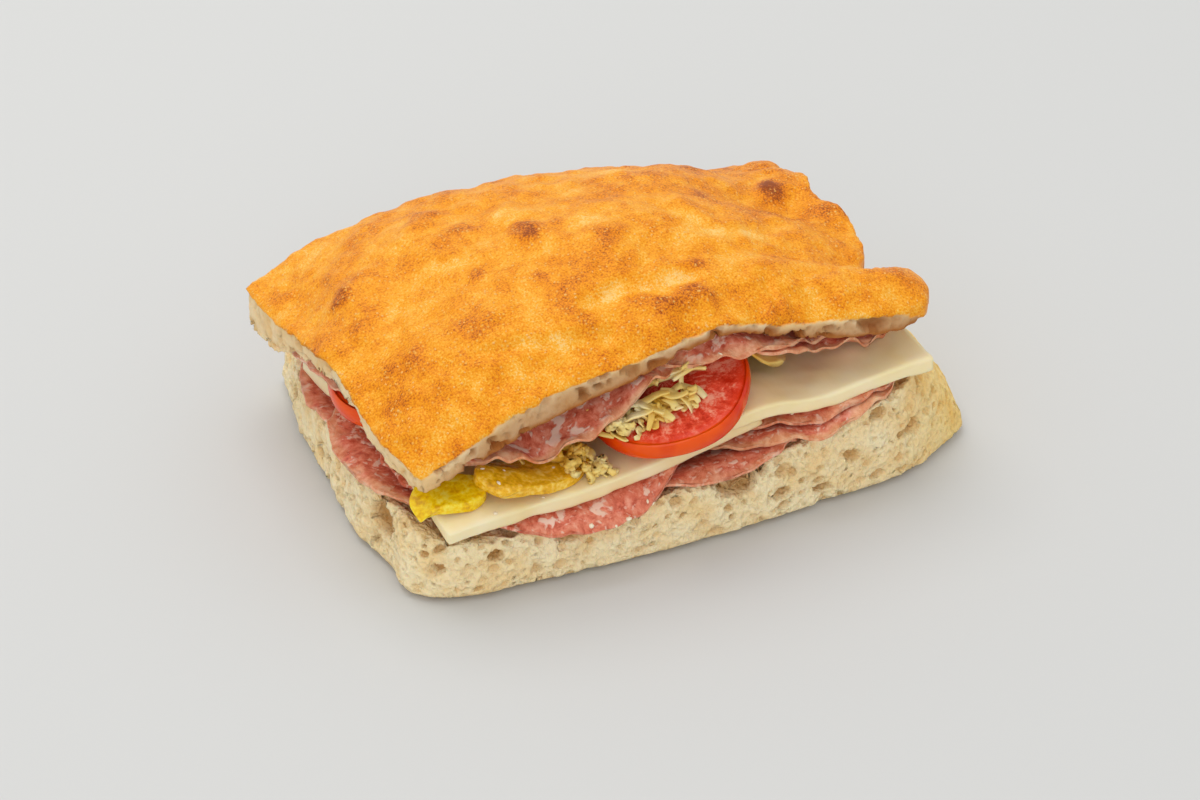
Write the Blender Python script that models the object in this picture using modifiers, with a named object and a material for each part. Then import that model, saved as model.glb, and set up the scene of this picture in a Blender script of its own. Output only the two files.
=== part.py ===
"""Italian sub sandwich on a slab of focaccia, cut at the front and left, with its baked edge at the right and
back.

The food is built in the order in which it is put together: the base slab of bread, salami, cheese, tomato,
peppers and cabbage, more salami, and the lid. Each limp slice is laid on what is already there by settle(),
each tomato slice is lowered onto it by drop(), and every piece keeps GAP to its neighbours. X runs along the
cut front, Y to the back and Z up. Sizes are in millimetres, and put_in_scene() turns them into Blender's
metres.
"""

import math

import bmesh
import bpy
import numpy as np
from mathutils import Euler, Vector, noise
from mathutils.bvhtree import BVHTree

MM = 0.001
GAP = 0.35  # clearance between pieces that touch

# Base slab: its outline at the board, side by side, each point with the height of the cut above it.
BASE_FRONT = [(-77.5, -57, 19), (-69, -62, 18), (-46, -64, 17), (-6, -66, 18), (36, -64, 23.5),
              (68, -61, 29.5), (91, -49, 30)]
BASE_BACK = [(-77, 54, 16), (-62, 58, 18), (-30, 57, 20), (5, 59, 22), (40, 57, 24), (66, 58, 25),
             (84, 50, 24)]
BASE_LEFT = [(-77.5, -57, 19), (-81, -50, 21), (-79.5, -44, 21), (-82.5, -30, 20), (-82, 0, 18),
             (-81, 30, 16), (-77, 54, 16)]
BASE_RIGHT = [(91, -49, 30), (95, -36, 31), (92, -8, 30), (93, 16, 28), (91, 38, 26), (84, 50, 24)]
BASE_HOLLOW = 9  # how far the filling has pressed the middle of the cut down
BASE_LEAN_RIGHT = 18  # how far the baked right end leans out from the cut down to the board
BASE_LEAN_ELSEWHERE = 2.5
BASE_CELLS = (22, 16, 3)

# Lid: the rim of the crust, side by side from the front left corner, with its height and thickness.
LID_FRONT = [(-75, -56, 38, 6), (-67, -57, 42, 7), (-55, -56, 48.5, 9), (-37, -54, 53, 9),
             (-10, -54, 56.5, 8), (15, -53, 57, 6), (40, -54, 54.5, 7), (60, -56, 52, 7), (71, -54, 50.5, 5)]
LID_BACK = [(-88, 48, 39, 13), (-67, 51, 46.5, 13), (-42, 50, 51.5, 12), (0, 47, 54, 11), (30, 43, 51.5, 10),
            (50, 38, 48, 9), (61, 42, 44, 8)]
LID_LEFT = [(-75, -56, 38, 6), (-79, -46, 41, 8), (-81, -30, 42, 10), (-82, -14, 42, 12), (-84, 6, 41.5, 13),
            (-87.5, 34, 39.5, 14), (-88, 48, 39, 13)]
LID_RIGHT = [(71, -54, 50.5, 5), (77, -45, 51.5, 7), (75.5, -35, 51, 8), (66, -31, 48, 8), (70, -23, 49, 9),
             (70.5, -6, 49, 9), (66.5, 3, 46, 8), (70, 10, 48, 9), (69, 28, 46.5, 9), (61, 42, 44, 8)]
LID_RISE = 13  # how far the crown stands above the rim
LID_THICK_CROWN = 22
LID_CELLS = (24, 17, 2)

SALAMI_RADIUS = 45
SALAMI_THICK = 1.4
CHEESE_THICK = 4
TOMATO_RADIUS = 23.5
TOMATO_THICK = 5.5
PEPPER_THICK = 3.2
CABBAGE_TOP = 37

# Where slices bend down over the food below: the plan direction outwards, and the distance of that edge.
FRONT = (0, -1, 59)
LEFT = (-1, 0, 77)
RIGHT = (1, 0, 72)
BACK = (0, 1, 54)
LID_EDGE = (0, -1, 50)

# name: centre x and y, radius factor, cells each way, then the edges that it hangs over, with its degrees
SALAMI_BELOW = {
    "salami_base_back_left": (-40, 16, 0.93, 7, [(LEFT, 35), (BACK, 30)]),
    "salami_base_back_right": (35, 14, 0.93, 7, [(RIGHT, 30), (BACK, 30)]),
    "salami_base_middle": (9, -29, 0.84, 9, [(FRONT, 45)]),
    "salami_base_front_left_under": (-43, -17, 0.93, 9, [(LEFT, 50)]),
    "salami_base_front_right_under": (39, -22, 0.97, 9, [(FRONT, 40), (RIGHT, 40)]),
    "salami_base_front_left": (-31, -26.5, 0.95, 9, [(FRONT, 50)]),
    "salami_base_front_right": (44, -20, 0.93, 9, [(FRONT, 30), (RIGHT, 40)]),
}
SALAMI_ABOVE = {
    "salami_lid_back_left": (-41, 13, 0.93, 7, [(LEFT, 30), (BACK, 30)]),
    "salami_lid_back_right": (31, 11, 0.9, 7, [(RIGHT, 30), (BACK, 30)]),
    "salami_lid_front_right_under": (40, -17, 0.86, 7, [(LID_EDGE, 20), (RIGHT, 40)]),
    "salami_lid_front_left": (-31, -13, 0.96, 9, [(LID_EDGE, 15)]),
    "salami_lid_front_right": (27, -14, 0.93, 9, [(LID_EDGE, 15)]),
}


def smooth_curve(points, where):
    """Points at where (0 to 1, by length) on a smooth curve through a few points: a cubic Hermite spline."""
    points = np.array(points, float)
    length = np.append(0, np.cumsum(np.linalg.norm(np.diff(points, axis=0), axis=1)))
    knots = length / length[-1]
    slope = np.gradient(points, knots, axis=0)
    span = np.clip(np.searchsorted(knots, where, side="right") - 1, 0, len(points) - 2)
    width = knots[span + 1] - knots[span]
    t = ((where - knots[span]) / width)[:, None]
    start, end = points[span], points[span + 1]
    start_slope = slope[span] * width[:, None]
    end_slope = slope[span + 1] * width[:, None]
    return ((2 * t**3 - 3 * t**2 + 1) * start + (t**3 - 2 * t**2 + t) * start_slope
            + (3 * t**2 - 2 * t**3) * end + (t**3 - t**2) * end_slope)


def patch(front, back, left, right, s, t):
    """A surface stretched between four edge curves (a Coons patch): s goes left to right, t front to back."""
    ruled = ((1 - t)[:, None] * smooth_curve(front, s) + t[:, None] * smooth_curve(back, s)
             + (1 - s)[:, None] * smooth_curve(left, t) + s[:, None] * smooth_curve(right, t))
    ends = (front[0], front[-1], back[0], back[-1])
    front_left, front_right, back_left, back_right = (np.array(end, float) for end in ends)
    corners = (((1 - s) * (1 - t))[:, None] * front_left + (s * (1 - t))[:, None] * front_right
               + ((1 - s) * t)[:, None] * back_left + (s * t)[:, None] * back_right)
    return ruled - corners


def lumps(plan, size, seed):
    """Soft random unevenness from about -1 to 1 over a plan, with lumps of that size."""
    return np.array([noise.noise(Vector((x / size, y / size, seed))) for x, y in plan]) * 2


def block(cells):
    """A cube from 0 to 1 each way, cut into cells. Returns its bmesh."""
    made = bmesh.new()
    bmesh.ops.create_cube(made, size=1)
    bmesh.ops.translate(made, vec=(0.5, 0.5, 0.5), verts=made.verts)
    for axis, count in enumerate(cells):
        normal = Vector((axis == 0, axis == 1, axis == 2))
        for step in range(1, count):
            whole = made.verts[:] + made.edges[:] + made.faces[:]
            bmesh.ops.bisect_plane(made, geom=whole, plane_co=normal * step / count, plane_no=normal)
    return made


def places(made):
    """The corner positions of a bmesh as rows of an array."""
    made.verts.index_update()
    return np.array([v.co for v in made.verts], float)


def move_to(made, positions):
    for vert, position in zip(made.verts, positions):
        vert.co = position


class Stack:
    """The food laid so far, as one surface that can be felt from above."""

    def __init__(self):
        self.points, self.faces = [], []

    def add(self, obj):
        """Adds an object's evaluated mesh, which is in metres."""
        bpy.context.view_layer.update()
        evaluated = obj.evaluated_get(bpy.context.evaluated_depsgraph_get())
        mesh = evaluated.to_mesh()
        first = len(self.points)
        self.points += [evaluated.matrix_world @ v.co / MM for v in mesh.vertices]
        self.faces += [[first + i for i in face.vertices] for face in mesh.polygons]
        evaluated.to_mesh_clear()
        self.felt = BVHTree.FromPolygons(self.points, self.faces)

    def height(self, plan):
        """Height of the top of the food at each x, y, and minus infinity beside it."""
        down, high = Vector((0, 0, -1)), 500
        hits = (self.felt.ray_cast(Vector((x, y, high)), down)[0] for x, y in plan)
        return np.array([hit.z if hit else -math.inf for hit in hits])


def neighbour_mean(values, triangles):
    """Each corner's value averaged with those of the triangles around it."""
    total, count = np.zeros(len(values)), np.zeros(len(values))
    np.add.at(total, triangles, values[triangles].mean(axis=1)[:, None])
    np.add.at(count, triangles, 1)
    return total / count


def settle(plan, triangles, rest, stack, give, rounds=60):
    """Heights of a limp sheet laid on the stack: it falls towards its rest shape, held GAP above the food.
    give is how soon it comes back to its rest shape beside what lifts it."""
    fine = 8
    weights = np.array([(i, j, fine - i - j) for i in range(fine + 1) for j in range(fine + 1 - i)]) / fine
    samples = np.einsum("mk,tkd->tmd", weights, plan[triangles])
    ground = stack.height(samples.reshape(-1, 2)).reshape(len(triangles), -1) + GAP
    share = weights / (weights**2).sum(axis=1)[:, None]

    def lifted(height):
        short = np.clip(ground - np.einsum("mk,tk->tm", weights, height[triangles]), 0, None)
        push = np.zeros(len(plan))
        np.maximum.at(push, triangles, (short[:, :, None] * share[None]).max(axis=1))
        return height + push, short.max()

    height = rest
    for _ in range(rounds):
        height, _ = lifted(rest + (1 - give) * neighbour_mean(height - rest, triangles))
    short = math.inf
    while short > 0.01:
        height, short = lifted(height)
    return height


def hang(plan, edge, degrees, bend_radius=9):
    """Bends what reaches past an edge down over it: the new plan, and how far each point drops."""
    out, angle = np.array(edge[:2], float), math.radians(degrees)
    past = np.clip(plan @ out - edge[2], 0, None)
    turned = np.minimum(past / bend_radius, angle)
    straight = np.clip(past - bend_radius * angle, 0, None)
    reach = bend_radius * np.sin(turned) + straight * math.cos(angle)
    drop = bend_radius * (1 - np.cos(turned)) + straight * math.sin(angle)
    return plan + (reach - past)[:, None] * out, drop


def sheet_grid(cells):
    """A triangulated square grid from -1 to 1, its corner places and its triangles."""
    made = bmesh.new()
    bmesh.ops.create_grid(made, x_segments=cells[0], y_segments=cells[1], size=1)
    bmesh.ops.triangulate(made, faces=made.faces)
    made.faces.index_update()
    spots = places(made)[:, :2]
    return made, spots, np.array([[v.index for v in face.verts] for face in made.faces])


def as_disc(spots, wobble=0.0, seed=0.0, folded=0.0):
    """A square grid's places moved into an uneven disc of radius 1. folded straightens its sides."""
    s, t = spots.T
    disc = np.stack([s * np.sqrt(1 - t**2 / 2), t * np.sqrt(1 - s**2 / 2)], axis=1)
    disc = disc * (1 - folded) + spots * folded
    angle = np.arctan2(disc[:, 1], disc[:, 0])
    waves = np.sin(2 * angle + seed) + 0.5 * np.sin(3 * angle + 2 * seed) + 0.3 * np.sin(7 * angle - seed)
    rim = 1 + wobble * waves
    return disc * rim[:, None]


def limp_rest(plan, triangles, stack, lower_by, rounds=5):
    """The smoothed top of the food under a limp sheet, a little lower, and a plane beside the food."""
    ground = stack.height(plan)
    felt = np.isfinite(ground)
    terms = np.column_stack([plan, np.ones(len(plan))])
    plane = terms @ np.linalg.lstsq(terms[felt], ground[felt], rcond=None)[0]
    rest = np.where(felt, ground, plane)
    for _ in range(rounds):
        rest = neighbour_mean(rest, triangles)
    return rest - lower_by


def lay_sheet(name, spots_to_plan, cells, thick, stack, material, edges=(), give=0.12, lower_by=2.0):
    """Lays an even slice on the stack: a grid shaped by spots_to_plan, hung over edges, then thickened."""
    made, spots, triangles = sheet_grid(cells)
    flat = spots_to_plan(spots)
    plan, drop = flat, np.zeros(len(flat))
    for edge, degrees in edges:
        plan, more = hang(plan, edge, degrees)
        drop = drop + more
    rest = limp_rest(plan, triangles, stack, lower_by) - drop
    height = settle(plan, triangles, rest, stack, give)
    move_to(made, np.column_stack([plan, height]))
    obj = put_in_scene(name, made, material)
    shell = obj.modifiers.new("thickness", "SOLIDIFY")
    shell.thickness = thick * MM
    shell.offset = 1
    stack.add(obj)
    return obj


def put_in_scene(name, made, material):
    """Makes an object of a bmesh in millimetres."""
    bmesh.ops.scale(made, vec=(MM, MM, MM), verts=made.verts)
    mesh = bpy.data.meshes.new(name)
    made.to_mesh(mesh)
    made.free()
    mesh.materials.append(material)
    obj = bpy.data.objects.new(name, mesh)
    FOOD.objects.link(obj)
    return obj


def food_material(name, colour, roughness):
    made = bpy.data.materials.new(name)
    made.use_nodes = True
    shader = made.node_tree.nodes["Principled BSDF"]
    shader.inputs["Base Color"].default_value = (*colour, 1)
    shader.inputs["Roughness"].default_value = roughness
    shader.inputs["Metallic"].default_value = 0
    return made


def base_slab(stack, crumb):
    """The lower slab: flat underneath, crumb on its cut faces, thicker towards the baked right end."""
    made = block(BASE_CELLS)
    s, t, up = places(made).T
    plan = patch(BASE_FRONT, BASE_BACK, BASE_LEFT, BASE_RIGHT, s, t)
    plan, cut = plan[:, :2], plan[:, 2]
    lean = np.where(s > 0.5, BASE_LEAN_RIGHT, BASE_LEAN_ELSEWHERE) * (2 * s - 1) * np.abs(2 * s - 1) ** 3
    plan[:, 0] -= lean * up**1.5
    plan[:, 1] -= BASE_LEAN_ELSEWHERE * (2 * t - 1) * up**2
    inward = (1 - np.abs(2 * s - 1) ** 5) * (1 - np.abs(2 * t - 1) ** 5)
    cut = cut - BASE_HOLLOW * inward + 0.8 * lumps(plan, 26, 4.2)
    rim = np.maximum(np.abs(2 * s - 1), np.abs(2 * t - 1))
    tucked = 1.5 * np.clip((rim - 0.86) / 0.14, 0, 1) ** 2
    foot = np.where(rim > 0.86, tucked, 0)
    height = foot + (cut - foot) * up
    move_to(made, np.column_stack([plan, height]))
    uneven = [f for f in made.faces if abs(f.normal.z) < 0.99 or f.calc_center_median().z > 1]
    bmesh.ops.triangulate(made, faces=uneven)
    made.normal_update()
    flat = [f for f in made.faces if f.normal.z < -0.9999 and abs(f.calc_center_median().z) < 1e-4]
    bmesh.ops.dissolve_faces(made, faces=flat)
    stack.add(put_in_scene("bread_base", made, crumb))


def lid_slab(stack, crust):
    """The upper slab: a domed, blistered crust over crumb, thin at its cut rim, resting on the filling."""
    made = block(LID_CELLS)
    s, t, up = places(made).T
    rim_surface = patch(LID_FRONT, LID_BACK, LID_LEFT, LID_RIGHT, s, t)
    plan, rim_thick = rim_surface[:, :2], rim_surface[:, 3]
    inward = (1 - np.abs(2 * s - 1) ** 2.2) * (1 - np.abs(2 * t - 1) ** 2.2)
    crust_height = rim_surface[:, 2] + LID_RISE * inward + 1.3 * lumps(plan, 24, 1.7) * inward**0.3
    thick = rim_thick + (LID_THICK_CROWN - rim_thick) * inward**0.8
    under = up == 0
    made.verts.index_update()
    bmesh.ops.triangulate(made, faces=made.faces)
    bottoms = [f for f in made.faces if all(under[v.index] for v in f.verts)]
    triangles = np.array([[v.index for v in f.verts] for f in bottoms])
    number = np.full(len(s), -1)
    number[under] = np.arange(under.sum())
    low = np.full(len(s), np.nan)
    low[under] = settle(plan[under], number[triangles], (crust_height - thick)[under], stack, give=0.08)
    level_of = {(round(a, 6), round(b, 6)): z for a, b, z in zip(s[under], t[under], low[under])}
    low = np.array([level_of[round(a, 6), round(b, 6)] for a, b in zip(s, t)])
    height = low + (np.maximum(crust_height, low + 0.7 * rim_thick) - low) * up
    move_to(made, np.column_stack([plan, height]))
    stack.add(put_in_scene("bread_lid", made, crust))


def salami_slices(slices, stack, material, folded=0.0):
    for number, (name, (x, y, size, cells, edges)) in enumerate(slices.items()):
        radius = SALAMI_RADIUS * size

        def shaped(spots, x=x, y=y, radius=radius, number=number):
            return as_disc(spots, wobble=0.012, seed=1.7 * number, folded=folded) * radius + (x, y)

        lay_sheet(name, shaped, (cells, cells), SALAMI_THICK, stack, material, edges)


def rectangle(corner, along, across, degrees):
    """A shaper for a straight-sided slice, from its front left corner."""
    turn = math.radians(degrees)
    x_way = np.array([math.cos(turn), math.sin(turn)])
    y_way = np.array([-math.sin(turn), math.cos(turn)])

    def shaped(spots):
        s, t = (spots.T + 1) / 2
        return np.array(corner) + s[:, None] * along * x_way + t[:, None] * across * y_way

    return shaped


def cheese_slices(stack, material):
    left, right = rectangle((-70.5, -63.5), 93, 96, 4), rectangle((8, -60), 64, 96, 0)
    lay_sheet("cheese_left", left, (8, 9), CHEESE_THICK, stack, material, [(FRONT, 25)], give=0.06)
    lay_sheet("cheese_right", right, (8, 9), CHEESE_THICK, stack, material, [(FRONT, 15)], give=0.06)


def oval(x, y, half_length, half_width, degrees):
    """A shaper for a rounded strip of pepper."""
    turn = math.radians(degrees)
    axes = np.array([[math.cos(turn), math.sin(turn)], [-math.sin(turn), math.cos(turn)]])

    def shaped(spots):
        return as_disc(spots, wobble=0.03, seed=x) * (half_length, half_width) @ axes + (x, y)

    return shaped


def pepper_strips(stack, fresh, pickled):
    strips = {
        "pepper_corner": (oval(-66, -53, 9.5, 5.8, -15), fresh),
        "pepper_front": (oval(-43, -53, 17, 8, 8), pickled),
        "pepper_back": (oval(24, 40, 18, 8, 5), fresh),
    }
    for name, (shaper, material) in strips.items():
        lay_sheet(name, shaper, (5, 5), PEPPER_THICK, stack, material, [((0, -1, 60), 30)], lower_by=1.0)


def tomato_slice(name, x, y, forward, sideways, stack, material):
    """A rigid round slice with a soft rim, leaned forward and sideways and lowered onto the food."""
    made = bmesh.new()
    bmesh.ops.create_cone(made, cap_ends=True, segments=24, radius1=TOMATO_RADIUS, radius2=TOMATO_RADIUS,
                          depth=TOMATO_THICK)
    rims = [e for e in made.edges if abs(e.verts[0].co.z - e.verts[1].co.z) < 1e-6]
    bmesh.ops.bevel(made, geom=rims, offset=1.5, segments=1, affect="EDGES")
    lean = Euler((math.radians(forward), math.radians(-sideways), 0)).to_matrix().to_4x4()
    bmesh.ops.transform(made, matrix=lean, verts=made.verts)
    bmesh.ops.translate(made, vec=(x, y, 0), verts=made.verts)
    drop(made, stack)
    stack.add(put_in_scene(name, made, material))


def drop(made, stack):
    """Lowers a rigid piece onto the stack, GAP clear of it."""
    shape = BVHTree.FromBMesh(made)
    low, high = places(made).min(axis=0), places(made).max(axis=0)
    across = np.linspace(low[0], high[0], 60)
    deep = np.linspace(low[1], high[1], 60)
    plan = np.array([(a, b) for a in across for b in deep])
    hits = [shape.ray_cast(Vector((a, b, low[2] - 10)), Vector((0, 0, 1)))[0] for a, b in plan]
    under = np.array([hit.z if hit else math.inf for hit in hits])
    lift = (stack.height(plan) + 2 * GAP - under).max()
    bmesh.ops.translate(made, vec=(0, 0, lift), verts=made.verts)


def tomato_slices(stack, material):
    tomato_slice("tomato_front", -1, -44.5, 8, 13, stack, material)
    tomato_slice("tomato_left", -57.5, -4, 0, 4, stack, material)
    tomato_slice("tomato_back", -14, 30, -2, 6, stack, material)


def cabbage_bed(stack, material):
    """The heap of shredded cabbage between the tomato slices, out to its uneven outline."""
    cells = (12, 8, 1)
    made = block(cells)
    s, t, up = places(made).T
    spots = np.column_stack([2 * s - 1, 2 * t - 1])
    heap = as_disc(spots * 0.97, wobble=0.03, seed=0.8) * 0.35 + spots * 0.65
    plan = heap * (52, 50) + (-10, -2)
    plan = plan + np.column_stack([lumps(plan, 14, 3.1), lumps(plan, 14, 7.9)]) * 1.5
    bmesh.ops.triangulate(made, faces=made.faces)
    under = up == 0
    bottoms = [f for f in made.faces if all(under[v.index] for v in f.verts)]
    triangles = np.array([[v.index for v in f.verts] for f in bottoms])
    number = np.full(len(s), -1)
    number[under] = np.arange(under.sum())
    rest = limp_rest(plan[under], number[triangles], stack, 1)
    level = settle(plan[under], number[triangles], rest, stack, give=0.2)
    level_of = {(round(a, 6), round(b, 6)): z for a, b, z in zip(s[under], t[under], level)}
    low = np.array([level_of[round(a, 6), round(b, 6)] for a, b in zip(s, t)])
    rim = np.maximum(np.abs(spots[:, 0]), np.abs(spots[:, 1]))
    top = CABBAGE_TOP - 9 * np.clip((rim - 0.6) / 0.4, 0, 1) ** 2 + 0.7 * lumps(plan, 11, 5.5)
    height = np.where(up > 0, np.maximum(top, low + 2), low)
    move_to(made, np.column_stack([plan, height]))
    stack.add(put_in_scene("cabbage", made, material))


def stand_on_origin():
    """Moves the food so that the middle of its footprint is at the origin and its base is at z = 0."""
    bpy.context.view_layer.update()
    graph = bpy.context.evaluated_depsgraph_get()
    corners = [Vector(c) for obj in FOOD.objects for c in obj.evaluated_get(graph).bound_box]
    low = Vector(map(min, *corners))
    high = Vector(map(max, *corners))
    shift = Vector((-(low.x + high.x) / 2, -(low.y + high.y) / 2, -low.z))
    for obj in FOOD.objects:
        obj.location = shift
    print("size mm", [round(v / MM, 1) for v in high - low], "shift mm", [round(v / MM, 2) for v in shift])


for old in list(bpy.data.objects):
    bpy.data.objects.remove(old)
FOOD = bpy.data.collections.new("sub_sandwich")
bpy.context.scene.collection.children.link(FOOD)

stack = Stack()
crumb = food_material("bread_crumb", (0.78, 0.62, 0.38), 0.9)
crust = food_material("bread_crust", (0.72, 0.33, 0.06), 0.6)
salami = food_material("salami", (0.50, 0.12, 0.10), 0.45)
cheese = food_material("cheese", (0.83, 0.66, 0.33), 0.4)
tomato = food_material("tomato", (0.60, 0.05, 0.02), 0.25)
pepper_fresh = food_material("pepper", (0.55, 0.52, 0.03), 0.3)
pepper_pickled = food_material("pickled_pepper", (0.35, 0.30, 0.06), 0.35)
cabbage = food_material("cabbage", (0.55, 0.48, 0.18), 0.5)

base_slab(stack, crumb)
salami_slices(SALAMI_BELOW, stack, salami)
cheese_slices(stack, cheese)
tomato_slices(stack, tomato)
pepper_strips(stack, pepper_fresh, pepper_pickled)
cabbage_bed(stack, cabbage)
salami_slices(SALAMI_ABOVE, stack, salami, folded=0.3)
lid_slab(stack, crust)
stand_on_origin()
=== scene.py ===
"""Looks for the Italian sub sandwich: focaccia, salami, cheese, tomato, pickled peppers and shredded cabbage.

X runs along the cut front, Y to the back and Z up, in metres. Sizes named here are in millimetres, times MM.
"""

import math

import bmesh
import bpy
import numpy as np
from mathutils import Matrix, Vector
from mathutils.bvhtree import BVHTree
from mathutils.kdtree import KDTree


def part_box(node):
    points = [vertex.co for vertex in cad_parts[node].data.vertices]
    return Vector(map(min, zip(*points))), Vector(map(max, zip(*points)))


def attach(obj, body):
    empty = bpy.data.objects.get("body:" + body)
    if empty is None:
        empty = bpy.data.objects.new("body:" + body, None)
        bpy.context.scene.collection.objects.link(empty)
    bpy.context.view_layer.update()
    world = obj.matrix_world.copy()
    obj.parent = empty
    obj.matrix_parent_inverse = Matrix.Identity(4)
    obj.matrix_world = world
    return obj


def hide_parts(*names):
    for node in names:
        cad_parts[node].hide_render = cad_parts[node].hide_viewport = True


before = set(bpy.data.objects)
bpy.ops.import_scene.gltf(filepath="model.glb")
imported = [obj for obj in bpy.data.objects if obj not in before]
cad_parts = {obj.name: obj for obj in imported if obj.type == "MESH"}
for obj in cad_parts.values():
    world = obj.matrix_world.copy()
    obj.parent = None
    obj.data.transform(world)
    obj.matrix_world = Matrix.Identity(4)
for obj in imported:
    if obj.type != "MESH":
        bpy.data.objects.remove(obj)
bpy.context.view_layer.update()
MM = 0.001


# ---------------------------------------------------------------- Base slab
# The lower half of a slab of focaccia, sliced level. Its front and left are cut through the open crumb, its right and
# back ends are the soft baked edge, and a thin pale crust lies underneath.

BASE_GRAIN = 1.1  # edge length of the mesh in mm, and half of that where crumb shows
# Cracks up from the underside, where the dough split as it was cut: x, y, height, width and depth in mm.
BASE_CRACKS = [(34, -58, 9, 1.3, 3.4), (-80, -42, 14, 1.6, 3.2), (-20, -62, 4, 1.0, 1.5), (66, -52, 6, 1.0, 2.0)]


def linear(colour):
    """An sRGB hex colour as linear red, green, blue and alpha."""
    parts = [int(colour[i:i + 2], 16) / 255 for i in (1, 3, 5)]
    return tuple(c / 12.92 if c <= 0.04045 else ((c + 0.055) / 1.055) ** 2.4 for c in parts) + (1.0,)


def add(tree, kind, inputs=None, stops=None, **settings):
    """Adds a node with its settings. Each input gets a value or a link, and a colour ramp gets its stops."""
    made = tree.nodes.new(kind)
    for name, value in settings.items():
        setattr(made, name, value)
    for key, value in (inputs or {}).items():
        if isinstance(value, bpy.types.NodeSocket):
            tree.links.new(value, made.inputs[key])
        else:
            made.inputs[key].default_value = value
    if stops:
        ramp = made.color_ramp.elements
        for place, colour in stops[:-2]:
            ramp.new(place)
        for stop, (place, colour) in zip(ramp, stops):
            stop.position = place
            stop.color = linear(colour) if isinstance(colour, str) else (colour, colour, colour, 1)
    return made


def blank_material(name):
    """A new material's tree, with its Principled shader."""
    made = bpy.data.materials.new(name)
    made.use_nodes = True
    return made, made.node_tree, made.node_tree.nodes["Principled BSDF"]


def mixed(tree, factor, first, second, how="MIX"):
    """Colour first going to colour second by factor."""
    node = add(tree, "ShaderNodeMix", {0: factor, 6: first, 7: second}, data_type="RGBA", blend_type=how)
    return node.outputs[2]


def per(size_mm):
    """A texture's scale for a pattern of that size, on coordinates in metres."""
    return 1 / (size_mm * MM)


def joined_copy(node, crease_over=math.radians(50), crease=0.0):
    """A copy of a CAD node's mesh with its loose triangles joined up, mostly into quads, and its sharp edges creased."""
    made = bmesh.new()
    made.from_mesh(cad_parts[node].data)
    bmesh.ops.remove_doubles(made, verts=made.verts, dist=1e-6)
    bmesh.ops.join_triangles(made, faces=made.faces, angle_face_threshold=0.6, angle_shape_threshold=0.7)
    if crease:
        layer = made.edges.layers.float.new("crease_edge")
        for edge in made.edges:
            if len(edge.link_faces) == 2 and edge.calc_face_angle() > crease_over:
                edge[layer] = crease
    mesh = bpy.data.meshes.new(node)
    made.to_mesh(mesh)
    made.free()
    return mesh


def finished(mesh, *modifiers):
    """A mesh with modifiers applied: each is its type and its settings."""
    obj = bpy.data.objects.new("work", mesh)
    bpy.context.collection.objects.link(obj)
    for kind, settings in modifiers:
        modifier = obj.modifiers.new(kind, kind)
        for name, value in settings.items():
            setattr(modifier, name, value)
    bpy.context.view_layer.update()
    made = bpy.data.meshes.new_from_object(obj.evaluated_get(bpy.context.evaluated_depsgraph_get()))
    bpy.data.objects.remove(obj)
    return made


def smoother(levels):
    return "SUBSURF", {"levels": levels, "render_levels": levels}


def points_of(mesh):
    flat = np.empty(len(mesh.vertices) * 3)
    mesh.vertices.foreach_get("co", flat)
    return flat.reshape(-1, 3)


def set_points(mesh, points):
    mesh.vertices.foreach_set("co", points.ravel())
    mesh.update()


def normals_of(mesh):
    flat = np.empty(len(mesh.vertices) * 3, np.float32)
    mesh.vertices.foreach_get("normal", flat)
    return flat.reshape(-1, 3).astype(float)


def set_field(mesh, name, values):
    """Stores a number for each vertex, for a material to read."""
    layer = mesh.attributes.new(name, "FLOAT", "POINT")
    layer.data.foreach_set("value", values.astype(np.float32))


def edges_of(mesh):
    flat = np.empty(len(mesh.edges) * 2, np.int64)
    mesh.edges.foreach_get("vertices", flat)
    return flat.reshape(-1, 2)


def evened(values, ends, rounds):
    """Values averaged with their neighbours' along the edges, a number of times."""
    values = np.array(values, float)
    count = np.bincount(ends.ravel(), minlength=len(values)).astype(float)
    if values.ndim == 2:
        count = count[:, None]
    for _ in range(rounds):
        total = np.zeros_like(values)
        np.add.at(total, ends[:, 0], values[ends[:, 1]])
        np.add.at(total, ends[:, 1], values[ends[:, 0]])
        values = 0.5 * values + 0.5 * total / count
    return values


def drift(points, size_mm, seed):
    """A smooth random field from -1 to 1 over points in space, with lumps of that size."""
    table = np.random.default_rng(seed).uniform(-1, 1, (32, 32, 32))
    place = points / (size_mm * MM)
    cell = np.floor(place).astype(int)
    part = place - cell
    part = part * part * (3 - 2 * part)
    total = np.zeros(len(points))
    for corner in np.ndindex(2, 2, 2):
        share = np.prod(np.where(corner, part, 1 - part), axis=1)
        x, y, z = ((cell + corner) % 32).T
        total += share * table[x, y, z]
    return total


def ramp_up(low, high, values):
    """0 below low, 1 above high and smooth between."""
    part = np.clip((values - low) / (high - low), 0, 1)
    return part * part * (3 - 2 * part)


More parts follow.
